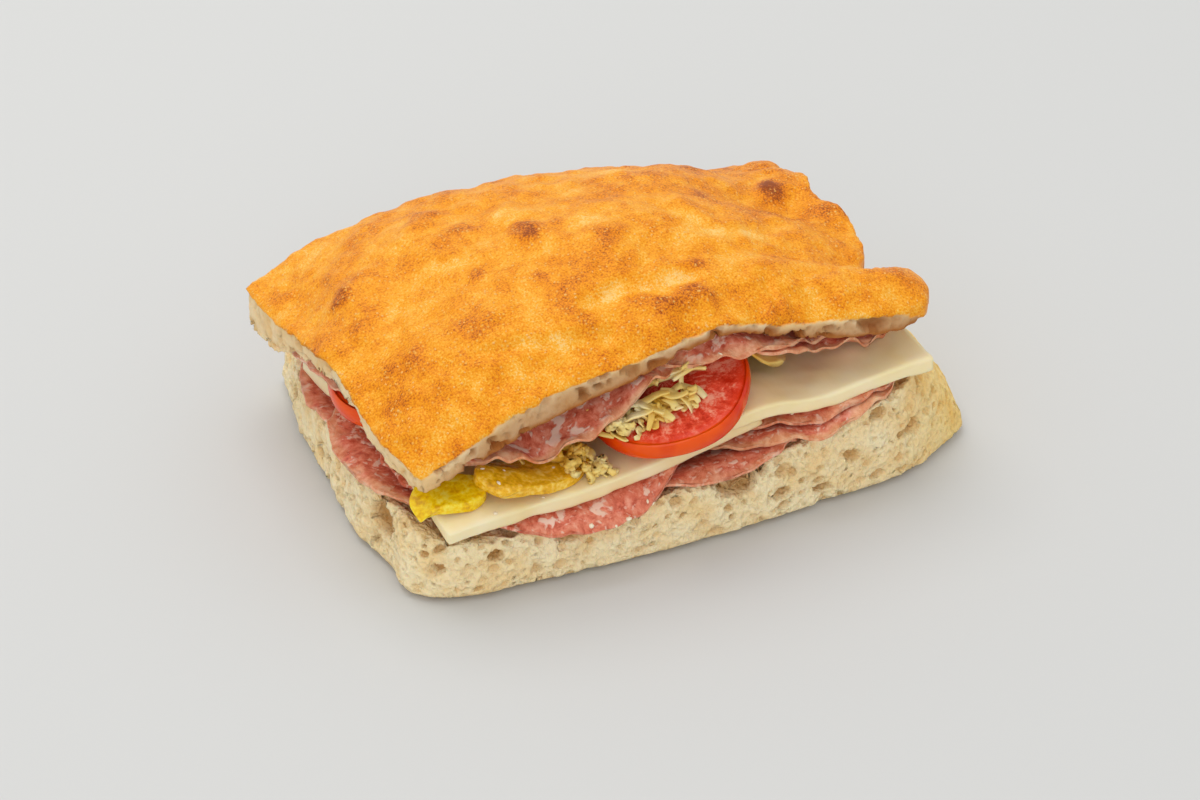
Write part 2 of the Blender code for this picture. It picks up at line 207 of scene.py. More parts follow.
def bubbles(points, inward, spacing_mm, smallest_mm, largest_mm, share, seed):
    """How deep the far wall of an air bubble lies below each point of a cut through dough, in metres, and 0 between
    bubbles. Each cell of a loose lattice may hold one bubble, and share of them do."""
    table = np.random.default_rng(seed).uniform(0, 1, (24, 24, 24, 5))
    spacing = spacing_mm * MM
    home = np.floor(points / spacing).astype(int)
    deepest = np.zeros(len(points))
    for step in np.ndindex(3, 3, 3):
        cell = home + np.array(step) - 1
        x, y, z = (cell % 24).T
        luck = table[x, y, z]
        centre = (cell + 0.15 + 0.7 * luck[:, :3]) * spacing
        radius = MM * (smallest_mm + (largest_mm - smallest_mm) * luck[:, 3] ** 2) * (luck[:, 4] < share)
        away = points - centre
        along = (away * inward).sum(axis=1)
        inside = radius**2 - (away**2).sum(axis=1)
        far = np.where(inside > 0, -along + np.sqrt(np.clip(along**2 + inside, 0, None)), 0)
        deepest = np.maximum(deepest, far)
    return deepest


def slab(node, grain_mm, crease, shows):
    """A slab's mesh, twice as fine where shows() is true, with its places and its softened normals."""
    smooth = finished(joined_copy(node, crease=crease), smoother(2))
    mesh = finished(smooth, ("REMESH", {"mode": "VOXEL", "voxel_size": grain_mm * MM}))
    set_points(mesh, evened(points_of(mesh), edges_of(mesh), 2))
    seen = shows(points_of(mesh), normals_of(mesh))
    made = bmesh.new()
    made.from_mesh(mesh)
    fine = [edge for edge in made.edges if seen[edge.verts[0].index] and seen[edge.verts[1].index]]
    bmesh.ops.subdivide_edges(made, edges=fine, cuts=1, use_grid_fill=True)
    made.to_mesh(mesh)
    made.free()
    facing = evened(normals_of(mesh), edges_of(mesh), 4)
    facing /= np.linalg.norm(facing, axis=1)[:, None]
    return mesh, points_of(mesh), facing


def torn_crumb(places, facing, coarse, seed, deepest_mm):
    """How far open crumb lies below a knife's cut: bubbles of four sizes, as in wet focaccia dough."""
    wander = np.stack([drift(places, 6, seed + k) for k in range(3)], axis=1) * 1.1 * MM
    stretched = (places + wander) * (0.9, 0.9, 1.15)
    depth = coarse * bubbles(stretched, -facing, 11, 2.2, 5.2, 0.40, seed)
    depth = np.maximum(depth, coarse * bubbles(stretched, -facing, 6, 1.2, 3.0, 0.60, seed + 1))
    depth = np.maximum(depth, bubbles(stretched, -facing, 3.4, 0.8, 1.8, 0.75, seed + 2))
    depth = np.maximum(depth, bubbles(stretched, -facing, 2.1, 0.5, 1.0, 0.70, seed + 3))
    return np.minimum(depth, deepest_mm * MM * (1 + 0.4 * drift(places, 3, seed + 4)))


def crumb_colour(tree, where, pore):
    """Open crumb: cream foam walls, with painted shade that turns the fine pores tan and goes darker and warmer towards
    the floor of each bubble. Also returns its foam.
    """
    tint = add(tree, "ShaderNodeTexNoise", {"Vector": where, "Scale": per(10), "Detail": 3})
    cream = add(tree, "ShaderNodeValToRGB", {0: tint.outputs[0]}, stops=[(0.35, "#f8d99f"), (0.62, "#ffecc0")])
    warp = add(tree, "ShaderNodeTexNoise", {"Vector": where, "Scale": per(2), "Detail": 3})
    bent = add(tree, "ShaderNodeVectorMath", {0: warp.outputs["Color"], 1: (0.0022,) * 3}, operation="MULTIPLY")
    spot = add(tree, "ShaderNodeVectorMath", {0: where, 1: bent.outputs[0]}, operation="ADD").outputs[0]
    small = add(tree, "ShaderNodeTexVoronoi", {"Vector": spot, "Scale": per(1.5)})
    large = add(tree, "ShaderNodeTexVoronoi", {"Vector": spot, "Scale": per(3.2)})
    foam = add(tree, "ShaderNodeMath", {0: small.outputs["Distance"], 1: large.outputs["Distance"]}, operation="ADD")
    # Painted shade: the foam pattern's small pores go tan.
    holes = add(tree, "ShaderNodeMapRange", {0: foam.outputs[0], 1: 0.22, 2: 0.85, 3: 0.42, 4: 0.0})
    colour = mixed(tree, holes.outputs[0], cream.outputs[0], linear("#e0b672"))
    # Painted shade: the deeper a carved bubble, the darker and warmer its colour.
    depth = add(tree, "ShaderNodeMapRange", {0: pore, 1: 0.0001, 2: 0.0036, 3: 0.0, 4: 0.8})
    return mixed(tree, depth.outputs[0], colour, linear("#c4934f")), foam


def bread_crumb():
    """Focaccia crumb: soft, matt and a little see-through at its thin walls, over a floury pale gold sole."""
    made, tree, shader = blank_material("focaccia_crumb")
    where = add(tree, "ShaderNodeTexCoord").outputs["Object"]
    pore = add(tree, "ShaderNodeAttribute", attribute_name="pore").outputs["Fac"]
    under = add(tree, "ShaderNodeAttribute", attribute_name="under").outputs["Fac"]
    end = add(tree, "ShaderNodeAttribute", attribute_name="baked_end").outputs["Fac"]
    colour, grain = crumb_colour(tree, where, pore)
    colour = mixed(tree, end, colour, linear("#fbeab8"), "MULTIPLY")
    floury = add(tree, "ShaderNodeTexNoise", {"Vector": where, "Scale": per(3.5), "Detail": 5})
    sole = add(tree, "ShaderNodeValToRGB", {0: floury.outputs[0]}, stops=[(0.38, "#e6bc78"), (0.6, "#f6dfae")])
    colour = mixed(tree, under, colour, sole.outputs[0])
    tree.links.new(colour, shader.inputs["Base Color"])
    bump = add(tree, "ShaderNodeBump", {"Strength": 0.9, "Distance": 0.9 * MM, "Height": grain.outputs[0]})
    tree.links.new(bump.outputs[0], shader.inputs["Normal"])
    shader.inputs["Roughness"].default_value = 0.75
    shader.inputs["Specular IOR Level"].default_value = 0.25
    shader.inputs["Subsurface Weight"].default_value = 0.2
    shader.inputs["Subsurface Radius"].default_value = (1.0, 0.65, 0.35)
    shader.inputs["Subsurface Scale"].default_value = 1.2 * MM
    return made


def piece(name, mesh, material, nodes):
    """Puts a finished mesh in the scene for the CAD nodes that it stands for."""
    mesh.materials.clear()
    mesh.materials.append(material)
    mesh.shade_smooth()
    mesh.name = name
    obj = bpy.data.objects.new(name, mesh)
    bpy.context.scene.collection.objects.link(obj)
    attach(obj, "root")
    if nodes:
        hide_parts(*nodes)
    return obj


def base_shows(places, facing):
    """The slab's sides, and a border of its top and bottom."""
    border = 5 * MM * (1 + drift(places, 6, 2))
    inside = np.minimum(places[:, :2] - base_low[:2], base_high[:2] - places[:, :2]).min(axis=1)
    return (np.abs(facing[:, 2]) < 0.86) | (inside < border)


base_low, base_high = (np.array(corner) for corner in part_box("bread_base"))
base_mesh, base_places, base_facing = slab("bread_base", BASE_GRAIN, 0.55, base_shows)
underneath = ramp_up(0.55, 0.85, -base_facing[:, 2] + 0.12 * drift(base_places, 5, 3))
sole = 1 - ramp_up(0.9, 2.2, base_places[:, 2] / MM + 0.8 * drift(base_places, 7, 4))
underneath = np.maximum(underneath, sole)
baked_end = ramp_up(-0.045, -0.004, base_places[:, 0] - base_high[0] + 0.005 * drift(base_places, 12, 5))
base_pore = torn_crumb(base_places, base_facing, 1 - 0.7 * baked_end, 11, 4.2)
base_pore *= (1 - underneath) * (1 - 0.4 * baked_end)
base_lumps = 0.5 * MM * drift(base_places, 7, 21) + 0.35 * MM * drift(base_places, 2.6, 22)
base_lumps *= 0.3 + 0.7 * (1 - underneath)
for x, y, tall, wide, deep in BASE_CRACKS:
    bent = 1.2 * MM * drift(base_places, 3, 23)
    beside = (np.linalg.norm(base_places[:, :2] - np.array((x, y)) * MM, axis=1) + bent) / (wide * MM)
    split = np.exp(-beside**2) * (1 - ramp_up(0.3 * tall, tall, base_places[:, 2] / MM))
    base_lumps -= deep * MM * split * (np.abs(base_facing[:, 2]) < 0.9)
base_places = base_places + base_facing * (base_lumps - base_pore)[:, None]
base_places[:, 2] = np.maximum(base_places[:, 2], base_low[2])
set_points(base_mesh, base_places)
set_field(base_mesh, "pore", base_pore)
set_field(base_mesh, "under", underneath)
set_field(base_mesh, "baked_end", baked_end)
piece("bread_base_crumb", base_mesh, bread_crumb(), ["bread_base"])


# ---------------------------------------------------------------- Salami on the base
# Slices of coarse pork salami, each about 90 mm across and 1.4 mm thick, limp and oily. White fat is marbled through
# the red lean, and the rim under the casing has dried to a pale orange.


def rim_of(node, crease_over=math.radians(50)):
    """A search tree of points along a slice's cut rim."""
    made = bmesh.new()
    made.from_mesh(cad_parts[node].data)
    bmesh.ops.remove_doubles(made, verts=made.verts, dist=1e-6)
    spots = []
    for edge in made.edges:
        if len(edge.link_faces) == 2 and edge.calc_face_angle() > crease_over:
            start, end = (vert.co for vert in edge.verts)
            spots += [start.lerp(end, k / 6) for k in range(7)]
    made.free()
    tree = KDTree(len(spots))
    for number, spot in enumerate(spots):
        tree.insert(spot, number)
    tree.balance()
    return tree


def slice_mesh(node, levels, number, wave_mm, dried, crease=0.85):
    """A limp slice, smoothed from its CAD shape, thinner and waved at its rim. Slices that lie on each other wave
    alike. It carries how far each point is from the rim, how dry the rim is, and the slice's own place in the meat,
    so that no two slices are marbled alike."""
    mesh = finished(joined_copy(node, crease=crease), smoother(levels))
    places, facing = points_of(mesh), normals_of(mesh)
    tree = rim_of(node)
    rim = np.array([tree.find(Vector(place))[2] for place in places])
    near = 1 - ramp_up(0, 3.5 * MM, rim)
    loose = 1 - ramp_up(0, 15 * MM, rim)
    level = places * (1, 1, 0)
    wave = 0.5 * drift(level, 11, 40) + 0.65 * drift(level, 5.5, 60) + 0.35 * drift(level, 3.5, 61 + number) * near
    wave += 0.55 * drift(level, 4.2, 62) * (1 - ramp_up(0, 8 * MM, rim))
    places -= facing * (0.32 * MM * near)[:, None]
    places[:, 2] += wave_mm * MM * wave * loose
    places[:, :2] += (0.9 * MM * drift(level, 4, 80 + number) * near)[:, None] * facing[:, :2]
    places[:, 0] -= 0.36 * np.clip(places[:, 0] - 57 * MM, 0, None)
    set_points(mesh, places)
    set_field(mesh, "rim", rim)
    set_field(mesh, "dried", np.full(len(places), dried))
    grain = mesh.attributes.new("grain", "FLOAT_VECTOR", "POINT")
    turn = 1.1 * number
    turned = places @ np.array([[math.cos(turn), math.sin(turn), 0], [-math.sin(turn), math.cos(turn), 0], [0, 0, 1]])
    grain.data.foreach_set("vector", (turned * (1, 1, 0.5) + 0.37 * number).astype(np.float32).ravel())
    return mesh


def sliced_salami():
    """Cured salami, cut cold: rosy lean with soft edged white fat, an oily sheen, and light passing into it."""
    made, tree, shader = blank_material("sliced_salami")
    place = add(tree, "ShaderNodeAttribute", attribute_name="grain").outputs["Vector"]
    rim = add(tree, "ShaderNodeAttribute", attribute_name="rim").outputs["Fac"]
    dried = add(tree, "ShaderNodeAttribute", attribute_name="dried").outputs["Fac"]
    swirl = add(tree, "ShaderNodeTexNoise", {"Vector": place, "Scale": per(6), "Detail": 2})
    bent = add(tree, "ShaderNodeVectorMath", {0: swirl.outputs["Color"], 1: (0.004,) * 3}, operation="MULTIPLY")
    spot = add(tree, "ShaderNodeVectorMath", {0: place, 1: bent.outputs[0]}, operation="ADD").outputs[0]
    fibre = add(tree, "ShaderNodeTexNoise", {"Vector": spot, "Scale": per(2.4), "Detail": 5, "Roughness": 0.65})
    lean = add(tree, "ShaderNodeValToRGB", {0: fibre.outputs[0]},
               stops=[(0.34, "#bf5038"), (0.5, "#e07a5e"), (0.66, "#f0a68c")])
    lumps = add(tree, "ShaderNodeTexNoise", {"Vector": spot, "Scale": per(4.6), "Detail": 3, "Roughness": 0.5})
    large = add(tree, "ShaderNodeMapRange", {0: lumps.outputs[0], 1: 0.585, 2: 0.64})
    specks = add(tree, "ShaderNodeTexNoise", {"Vector": spot, "Scale": per(1.7), "Detail": 2})
    small = add(tree, "ShaderNodeMapRange", {0: specks.outputs[0], 1: 0.60, 2: 0.68, 3: 0.0, 4: 0.8})
    fat = add(tree, "ShaderNodeMath", {0: large.outputs[0], 1: small.outputs[0]}, operation="MAXIMUM")
    colour = mixed(tree, fat.outputs[0], lean.outputs[0], linear("#f5cfbb"))
    uneven = add(tree, "ShaderNodeTexNoise", {"Vector": place, "Scale": per(7), "Detail": 3})
    width = add(tree, "ShaderNodeMapRange", {0: uneven.outputs[0], 1: 0.3, 2: 0.7, 3: 0.0010, 4: 0.0055})
    outer = add(tree, "ShaderNodeMath", {0: rim, 1: width.outputs[0]}, operation="DIVIDE")
    band = add(tree, "ShaderNodeMapRange", {0: outer.outputs[0], 1: 0.4, 2: 1.2, 3: 1.0, 4: 0.0})
    share = add(tree, "ShaderNodeMath", {0: band.outputs[0], 1: dried}, operation="MULTIPLY")
    casing = add(tree, "ShaderNodeValToRGB", {0: fibre.outputs[0]}, stops=[(0.35, "#dd8a5e"), (0.62, "#f2bd94")])
    colour = mixed(tree, share.outputs[0], colour, casing.outputs[0])
    tree.links.new(colour, shader.inputs["Base Color"])
    height = add(tree, "ShaderNodeMath", {0: fibre.outputs[0], 1: fat.outputs[0]}, operation="ADD")
    bump = add(tree, "ShaderNodeBump", {"Strength": 0.45, "Distance": 0.35 * MM, "Height": height.outputs[0]})
    tree.links.new(bump.outputs[0], shader.inputs["Normal"])
    shader.inputs["Roughness"].default_value = 0.38
    shader.inputs["Subsurface Weight"].default_value = 0.3
    shader.inputs["Subsurface Radius"].default_value = (1.0, 0.4, 0.28)
    shader.inputs["Subsurface Scale"].default_value = 1.4 * MM
    shader.inputs["Coat Weight"].default_value = 0.1
    shader.inputs["Specular IOR Level"].default_value = 0.3
    shader.inputs["Coat Roughness"].default_value = 0.2
    return made


salami = sliced_salami()
salami_below = [("salami_base_back_left", 2, 0.6), ("salami_base_back_right", 2, 0.6), ("salami_base_middle", 3, 0.5),
                ("salami_base_front_left_under", 3, 0.8), ("salami_base_front_right_under", 3, 1.0),
                ("salami_base_front_left", 3, 0.15), ("salami_base_front_right", 3, 0.6)]
for number, (node, levels, dried) in enumerate(salami_below):
    piece(node + "_slice", slice_mesh(node, levels, number, 1.3, dried), salami, [node])


# ---------------------------------------------------------------- Cheese
# Two slices of a mild, pale yellow cheese, 4 mm thick, cut with a wire: straight sided, waxy and slightly see-through.


def mild_cheese():
    """Provolone style cheese: dense and even, creamy inside with a satin skin where it was cut."""
    made, tree, shader = blank_material("mild_cheese")
    where = add(tree, "ShaderNodeTexCoord").outputs["Object"]
    cloud = add(tree, "ShaderNodeTexNoise", {"Vector": where, "Scale": per(14), "Detail": 4})
    colour = add(tree, "ShaderNodeValToRGB", {0: cloud.outputs[0]}, stops=[(0.3, "#f6e0a6"), (0.7, "#fcecc4")])
    tree.links.new(colour.outputs[0], shader.inputs["Base Color"])
    drag = add(tree, "ShaderNodeMapping", {"Vector": where, "Scale": (1, 0.25, 1)})
    wire = add(tree, "ShaderNodeTexNoise", {"Vector": drag.outputs[0], "Scale": per(1.6), "Detail": 4})
    bump = add(tree, "ShaderNodeBump", {"Strength": 0.22, "Distance": 0.25 * MM, "Height": wire.outputs[0]})
    tree.links.new(bump.outputs[0], shader.inputs["Normal"])
    shader.inputs["Roughness"].default_value = 0.4
    shader.inputs["Subsurface Weight"].default_value = 0.35
    shader.inputs["Subsurface Radius"].default_value = (1.0, 0.75, 0.35)
    shader.inputs["Subsurface Scale"].default_value = 3 * MM
    return made


cheese = mild_cheese()
for number, node in enumerate(["cheese_left", "cheese_right"]):
    mesh = finished(joined_copy(node, crease=0.93), smoother(3))
    places, facing = points_of(mesh), normals_of(mesh)
    rough = 0.4 * drift(places, 12, 90 + number) + 0.25 * drift(places, 5, 92 + number) + 0.1 * drift(places, 2, 94)
    places += facing * (MM * rough)[:, None]
    set_points(mesh, places)
    piece(node + "_slice", mesh, cheese, [node])


# ---------------------------------------------------------------- Tomato
# Round slices cut across a small ripe tomato near its shoulder: mealy pink red flesh, wet on the cut, inside a smooth
# orange red skin that bulges at the rim.

TOMATO_SEGMENTS = 120


def tomato_mesh(node, number):
    """A tomato slice turned from its CAD slice's own place, lean, radius and thickness."""
    corners = points_of(joined_copy(node))
    middle = (corners.max(axis=0) + corners.min(axis=0)) / 2
    axes = np.linalg.svd(corners - corners.mean(axis=0))[2]
    up = axes[2] * np.sign(axes[2][2])
    middle = corners.mean(axis=0)
    along = (corners - middle) @ up
    radius = np.linalg.norm((corners - middle) - along[:, None] * up, axis=1).max()
    half = along.max()
    face = [(radius * k / 26, half * (0.97 - 0.10 * math.sin(math.pi * k / 26))) for k in range(26)]
    soft = [(radius - half * 0.42 * (1 - math.cos(a)), half * math.sin(a)) for a in np.linspace(1.45, -1.45, 13)]
    under = [(r, -z) for r, z in reversed(face[::2])]
    profile = face + soft + under
    made = bmesh.new()
    rings = []
    for step in range(TOMATO_SEGMENTS):
        turn = 2 * math.pi * step / TOMATO_SEGMENTS
        lobe = 1 - 0.012 * (1 + math.cos(5 * turn + number)) - 0.006 * (1 + math.cos(3 * turn + 2 * number))
        rings.append([made.verts.new((r * lobe * math.cos(turn), r * lobe * math.sin(turn), z)) for r, z in profile])
    for left, right in zip(rings, rings[1:] + rings[:1]):
        for a, b, c, d in zip(left, left[1:], right[1:], right):
            made.faces.new((a, b, c, d))
    bmesh.ops.remove_doubles(made, verts=made.verts, dist=1e-6)
    bmesh.ops.recalc_face_normals(made, faces=made.faces)
    mesh = bpy.data.meshes.new(node)
    made.to_mesh(mesh)
    made.free()
    flat = points_of(mesh)
    reach = np.linalg.norm(flat[:, :2], axis=1) / radius
    inner = 1 - ramp_up(0.86, 0.93, reach)
    relief = 0.35 * MM * drift(flat, 4, 100 + number) + 0.18 * MM * drift(flat, 1.6, 101 + number)
    flat[:, 2] += relief * inner * np.sign(flat[:, 2])
    set_field(mesh, "skin", ramp_up(0.90, 0.925, reach))
    set_field(mesh, "reach", reach)
    grain = mesh.attributes.new("flesh", "FLOAT_VECTOR", "POINT")
    turn = np.arctan2(flat[:, 1], flat[:, 0])
    polar = np.stack([np.cos(turn) * 0.012, np.sin(turn) * 0.012, reach * 0.006], axis=1)
    grain.data.foreach_set("vector", polar.astype(np.float32).ravel())
    side = np.cross(up, (0, 1, 0))
    side /= np.linalg.norm(side)
    frame_axes = np.stack([side, np.cross(up, side), up])
    set_points(mesh, flat @ frame_axes + middle)
    return mesh


def ripe_tomato():
    """Ripe tomato: the cut flesh is grainy and wet, with pale fibres running out to the glossy skin."""
    made, tree, shader = blank_material("ripe_tomato")
    where = add(tree, "ShaderNodeTexCoord").outputs["Object"]
    skin = add(tree, "ShaderNodeAttribute", attribute_name="skin").outputs["Fac"]
    reach = add(tree, "ShaderNodeAttribute", attribute_name="reach").outputs["Fac"]
    polar = add(tree, "ShaderNodeAttribute", attribute_name="flesh").outputs["Vector"]
    fibre = add(tree, "ShaderNodeTexNoise", {"Vector": polar, "Scale": per(1.3), "Detail": 3})
    grain = add(tree, "ShaderNodeTexNoise", {"Vector": where, "Scale": per(0.9), "Detail": 4, "Roughness": 0.7})
    patch = add(tree, "ShaderNodeTexNoise", {"Vector": where, "Scale": per(6), "Detail": 3})
    both = add(tree, "ShaderNodeMath", {0: fibre.outputs[0], 1: grain.outputs[0]}, operation="ADD")
    all_three = add(tree, "ShaderNodeMath", {0: both.outputs[0], 1: patch.outputs[0]}, operation="ADD")
    third = add(tree, "ShaderNodeMath", {0: all_three.outputs[0], 1: 1 / 3}, operation="MULTIPLY")
    flesh = add(tree, "ShaderNodeValToRGB", {0: third.outputs[0]},
                stops=[(0.41, "#cc2a0e"), (0.5, "#ee5236"), (0.585, "#ffaa8e")])
    edge = add(tree, "ShaderNodeMapRange", {0: reach, 1: 0.78, 2: 0.92, 3: 0.0, 4: 0.8})
    colour = mixed(tree, edge.outputs[0], flesh.outputs[0], linear("#e8380e"))
    blush = add(tree, "ShaderNodeTexNoise", {"Vector": where, "Scale": per(10), "Detail": 2})
    peel = add(tree, "ShaderNodeValToRGB", {0: blush.outputs[0]}, stops=[(0.35, "#da2c00"), (0.65, "#f25600")])
    colour = mixed(tree, skin, colour, peel.outputs[0])
    tree.links.new(colour, shader.inputs["Base Color"])
    flat = add(tree, "ShaderNodeMath", {0: 1.0, 1: skin}, operation="SUBTRACT")
    strength = add(tree, "ShaderNodeMath", {0: flat.outputs[0], 1: 0.5}, operation="MULTIPLY")
    bump = add(tree, "ShaderNodeBump", {"Strength": strength.outputs[0], "Distance": 0.4 * MM, "Height": grain.outputs[0]})
    tree.links.new(bump.outputs[0], shader.inputs["Normal"])
    gloss = add(tree, "ShaderNodeMapRange", {0: skin, 3: 0.35, 4: 0.2})
    tree.links.new(gloss.outputs[0], shader.inputs["Roughness"])
    shader.inputs["Subsurface Weight"].default_value = 0.08
    shader.inputs["Subsurface Radius"].default_value = (1.0, 0.2, 0.1)
    shader.inputs["Subsurface Scale"].default_value = 2 * MM
    shader.inputs["Coat Weight"].default_value = 0.12
    shader.inputs["Specular IOR Level"].default_value = 0.25
    shader.inputs["Coat Roughness"].default_value = 0.12
    return made


tomato = ripe_tomato()
for number, node in enumerate(["tomato_front", "tomato_left", "tomato_back"]):
    piece(node + "_slice", tomato_mesh(node, number), tomato, [node])


# ---------------------------------------------------------------- Peppers
# Strips of pickled banana pepper: bright yellow ones at the front corner and at the back, and the one at the front gone
# olive in the vinegar.
# Each is a soft wet wall of fruit with a smooth skin on its outer edge.


def pickled_pepper(name, dark, mid, light):
    """Pickled pepper: see-through wet flesh, mottled darker and lighter, with a glossy film of oil and vinegar."""
    made, tree, shader = blank_material(name)
    where = add(tree, "ShaderNodeTexCoord").outputs["Object"]
    cloud = add(tree, "ShaderNodeTexNoise", {"Vector": where, "Scale": per(4), "Detail": 4})
    vein = add(tree, "ShaderNodeTexNoise", {"Vector": where, "Scale": per(1.2), "Detail": 3})
    both = add(tree, "ShaderNodeMath", {0: cloud.outputs[0], 1: vein.outputs[0]}, operation="ADD")
    half = add(tree, "ShaderNodeMath", {0: both.outputs[0], 1: 0.5}, operation="MULTIPLY")
    colour = add(tree, "ShaderNodeValToRGB", {0: half.outputs[0]}, stops=[(0.36, dark), (0.5, mid), (0.63, light)])
    tree.links.new(colour.outputs[0], shader.inputs["Base Color"])
    bump = add(tree, "ShaderNodeBump", {"Strength": 0.35, "Distance": 0.4 * MM, "Height": vein.outputs[0]})
    tree.links.new(bump.outputs[0], shader.inputs["Normal"])
    shader.inputs["Roughness"].default_value = 0.22
    shader.inputs["Subsurface Weight"].default_value = 0.4
    shader.inputs["Subsurface Radius"].default_value = (1.0, 0.8, 0.2)
    shader.inputs["Subsurface Scale"].default_value = 2 * MM
    shader.inputs["Coat Weight"].default_value = 0.2
    shader.inputs["Specular IOR Level"].default_value = 0.3
    shader.inputs["Coat Roughness"].default_value = 0.1
    return made


pepper_yellow = pickled_pepper("yellow_banana_pepper", "#dca404", "#fad208", "#ffe858")
pepper_olive = pickled_pepper("olive_banana_pepper", "#cc9204", "#f0b818", "#fcd866")
for number, (node, material, slot) in enumerate([("pepper_corner", pepper_yellow, "pepper"),
                                                 ("pepper_front", pepper_olive, "pickled_pepper"),
                                                 ("pepper_back", pepper_yellow, "pepper")]):
    mesh = finished(joined_copy(node, crease=0.45), smoother(4))
    places, facing = points_of(mesh), normals_of(mesh)
    wall = 0.45 * drift(places, 7, 110 + number) + 0.18 * drift(places * (1, 1, 0.4), 2.2, 113 + number)
    places += facing * (MM * wall)[:, None]
    set_points(mesh, places)
    piece(node + "_strip", mesh, material, [node])


# ---------------------------------------------------------------- Cabbage
# A heap of finely shredded white cabbage in vinegar: curled ribbons 1 to 2.5 mm wide, wet and half see-through, round a
# smaller core.


def wet_cabbage():
    """Pickled white cabbage: pale green yellow ribs going cream, with a wet gloss."""
    made, tree, shader = blank_material("wet_cabbage")
    where = add(tree, "ShaderNodeTexCoord").outputs["Object"]
    shade = add(tree, "ShaderNodeTexNoise", {"Vector": where, "Scale": per(9), "Detail": 1})
    vein = add(tree, "ShaderNodeTexNoise", {"Vector": where, "Scale": per(1.5), "Detail": 1})
    colour = add(tree, "ShaderNodeValToRGB", {0: shade.outputs[0]},
                 stops=[(0.30, "#eebc40"), (0.5, "#fcde86"), (0.66, "#ffefb8")])
    tree.links.new(colour.outputs[0], shader.inputs["Base Color"])
    bump = add(tree, "ShaderNodeBump", {"Strength": 0.2, "Distance": 0.2 * MM, "Height": vein.outputs[0]})
    tree.links.new(bump.outputs[0], shader.inputs["Normal"])
    shader.inputs["Roughness"].default_value = 0.28
    shader.inputs["Subsurface Weight"].default_value = 0.2
    shader.inputs["Subsurface Radius"].default_value = (1.0, 0.85, 0.4)
    shader.inputs["Subsurface Scale"].default_value = 1.5 * MM
    return made


def ribbon(course, width_mm, thick_mm, twist, lean):
    """A curled shred along a smooth course of a few points: the corners and faces of a thin cupped strip. It leans
    over by the angle lean, and turns by twist from end to end."""
    course = np.array(course, float)
    steps = 4 * (len(course) - 1) + 1
    course += np.random.default_rng(abs(int(lean * 1e6))).uniform(-0.0006, 0.0006, course.shape)
    at = np.linspace(0, len(course) - 1, steps)
    low = np.clip(at.astype(int), 0, len(course) - 2)
    part = (at - low)[:, None]
    before, start, end, after = (course[np.clip(low + k, 0, len(course) - 1)] for k in (-1, 0, 1, 2))
    line = 0.5 * (2 * start + (end - before) * part + (2 * before - 5 * start + 4 * end - after) * part**2
                  + (3 * start - before - 3 * end + after) * part**3)
    way = np.gradient(line, axis=0)
    way /= np.linalg.norm(way, axis=1)[:, None] + 1e-12
    turn = twist * np.linspace(-0.5, 0.5, steps) + lean
    level = np.cross(way, (0, 0, 1.0)) + 1e-9
    level /= np.linalg.norm(level, axis=1)[:, None]
    over = np.cross(level, way)
    wide = np.cos(turn)[:, None] * level + np.sin(turn)[:, None] * over
    high = np.cross(wide, way)
    taper = np.sin(np.pi * np.linspace(0.06, 0.94, steps)) ** 0.35
    corners, faces = [], []
    for k in range(steps):
        w, h = width_mm * MM * taper[k] / 2, thick_mm * MM / 2
        cup = 0.35 * w
        for x, z in ((-w, h + cup), (0, h), (w, h + cup), (w, cup - h), (0, -h), (-w, cup - h)):
            corners.append(line[k] + wide[k] * x + high[k] * z)
    for k in range(steps - 1):
        for j in range(6):
            a, b = 6 * k + j, 6 * k + (j + 1) % 6
            faces.append((a, a + 6, b + 6, b))
    faces.append((0, 1, 2, 3, 4, 5))
    last = 6 * (steps - 1)
    faces.append(tuple(last + j for j in (5, 4, 3, 2, 1, 0)))
    return corners, faces


def gathered(parts):
    """One mesh out of many lists of corners and faces."""
    corners, faces = [], []
    for more, sides in parts:
        first = len(corners)
        corners += [tuple(c) for c in more]
        faces += [tuple(first + i for i in side) for side in sides]
    mesh = bpy.data.meshes.new("gathered")
    mesh.from_pydata(corners, [], faces)
    made = bmesh.new()
    made.from_mesh(mesh)
    bmesh.ops.recalc_face_normals(made, faces=made.faces)
    made.to_mesh(mesh)
    made.free()
    return mesh


def felt_surface(*objects):
    """A surface of several finished objects, to find what lies below a point."""
    corners, faces = [], []
    for obj in objects:
        first = len(corners)
        corners += [vert.co.copy() for vert in obj.data.vertices]
        faces += [[first + i for i in side.vertices] for side in obj.data.polygons]
    return BVHTree.FromPolygons(corners, faces)


def grown(luck, hit, normal, length_mm):
    """The course of a shred that lies on the heap at a place, bowed up and curled sideways."""
    heading = luck.uniform(0, 2 * math.pi)
    length = length_mm * MM
    sideways = Vector((math.cos(heading), math.sin(heading), luck.uniform(-0.35, 0.35)))
    sideways = (sideways - normal * sideways.dot(normal) * 0.8).normalized()
    curl = normal.cross(sideways) * luck.uniform(-0.6, 0.6)
    bow = luck.uniform(0.1, 0.5)
    along = [k / 3 - 0.5 for k in range(4)]
    return [hit + sideways * t * length + curl * t * t * length + normal * ((0.25 - t * t) * bow * length + 0.2 * MM)
            for t in along]


